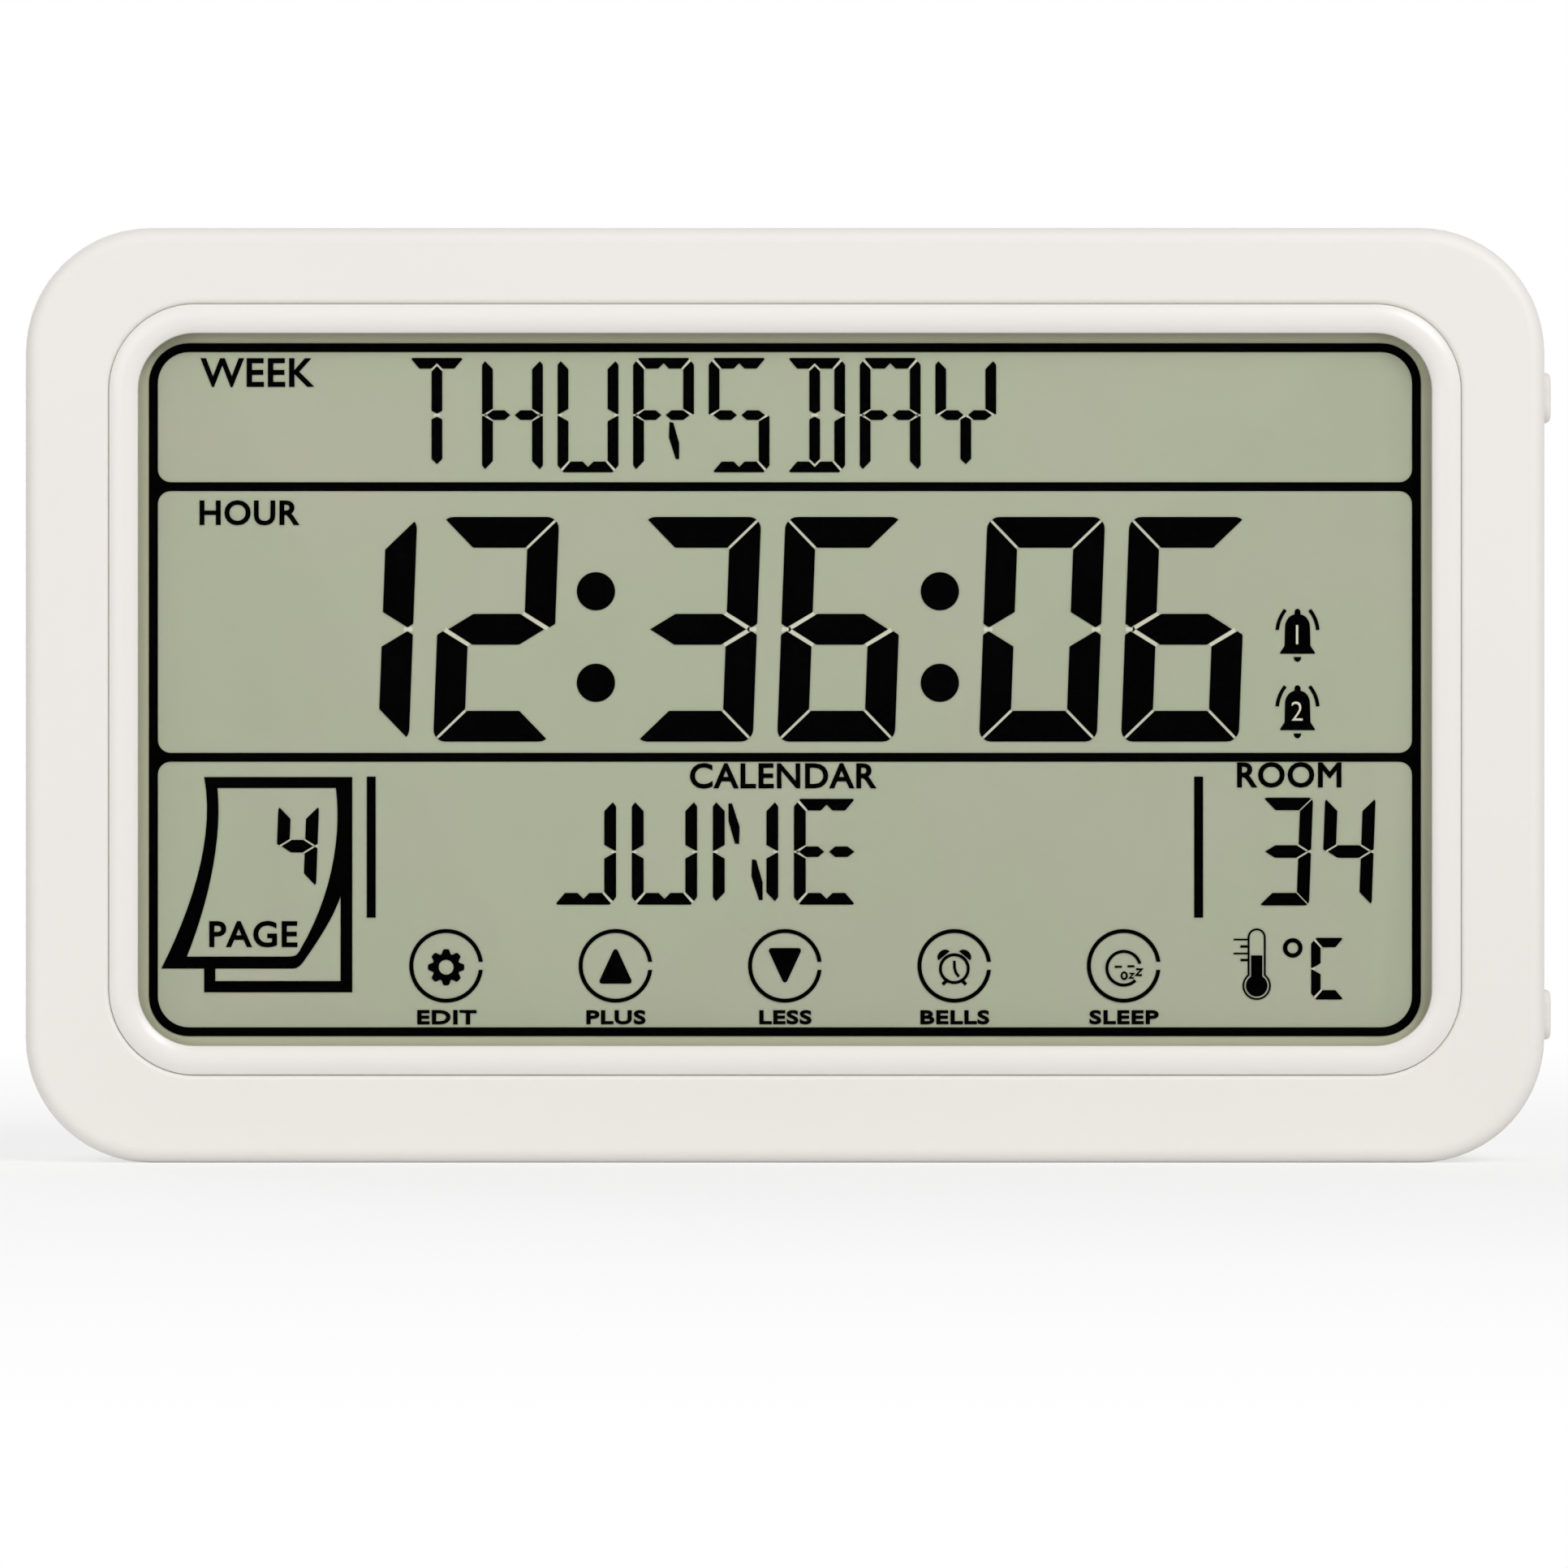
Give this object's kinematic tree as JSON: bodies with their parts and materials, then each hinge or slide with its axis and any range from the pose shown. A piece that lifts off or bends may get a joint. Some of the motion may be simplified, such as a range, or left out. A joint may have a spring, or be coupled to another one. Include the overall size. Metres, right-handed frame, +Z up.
{
  "type": "weather station clock",
  "caption": "Upright desk clock with a white rounded case, a set-back display of time, date and temperature, side push buttons, a sliding battery door and a fold-out stand.",
  "frame": {"origin": "middle of the flat base, half way through the depth of the case", "axes": "+X to the right as seen from the front, +Y towards the back, +Z up"},
  "size_m": [0.1638, 0.0264, 0.1],
  "materials": {
    "white_abs": "satin, fine spark-eroded grain",
    "clear_window": "clear, polished",
    "touch_film": "clear film",
    "lcd_black": "flat black",
    "lcd_green": "satin film",
    "cell_glass": "clear",
    "reflector_film": "diffuse film",
    "guide_acrylic": "polished",
    "lamp_ivory": "moulded",
    "holder_abs": "moulded",
    "strip_rubber": "banded",
    "board_laminate": "solder mask",
    "bright_steel": "nickel plated",
    "black_resin": "potting resin",
    "ceramic_tan": "fired",
    "black_plastic": "moulded",
    "bead_epoxy": "dipped",
    "plunger_ivory": "moulded",
    "cell_wrap": "printed sleeve"
  },
  "bodies": {
    "case": {"front_case": "white_abs", "window_ring": "white_abs", "rear_case": "white_abs", "display_window": "clear_window", "touch_film": "touch_film", "lcd_segments": "lcd_black", "lcd_front_polariser": "lcd_green", "lcd_front_glass": "cell_glass", "lcd_rear_glass": "cell_glass", "lcd_reflector": "reflector_film", "backlight_guide": "guide_acrylic", "backlight_leds": "lamp_ivory", "lcd_holder": "holder_abs", "zebra_strips": "strip_rubber", "main_board": "board_laminate", "board_screws": "bright_steel", "case_screws": "bright_steel", "contact_plus": "bright_steel", "contact_minus": "bright_steel", "contact_bridge": "bright_steel", "battery_springs": "bright_steel", "crystal": "bright_steel", "controller_blob": "black_resin", "chip_capacitors": "ceramic_tan", "buzzer": "black_plastic", "side_switches": "black_plastic", "thermistor": "bead_epoxy", "upper_cell": "cell_wrap", "lower_cell": "cell_wrap"},
    "upper_button": {"upper_button": "white_abs", "upper_plunger": "plunger_ivory"},
    "lower_button": {"lower_button": "white_abs", "lower_plunger": "plunger_ivory"},
    "battery_door": {"battery_door": "white_abs"},
    "stand": {"stand": "white_abs"}
  },
  "joints": [
    {"name": "upper_button_press", "type": "slide", "parent": "case", "child": "upper_button", "axis": [-1, 0, 0], "range_m": [0, 0.0006], "stiffness_N_per_m": 2500},
    {"name": "lower_button_press", "type": "slide", "parent": "case", "child": "lower_button", "axis": [-1, 0, 0], "range_m": [0, 0.0006], "stiffness_N_per_m": 2500},
    {"name": "battery_door_slide", "type": "slide", "parent": "case", "child": "battery_door", "axis": [-1, 0, 0], "range_m": [0, 0.05]},
    {"name": "stand_hinge", "type": "hinge", "parent": "case", "child": "stand", "pos_m": [0, 0.0112, 0.057], "axis": [1, 0, 0], "range_deg": [0, 35]}
  ]
}
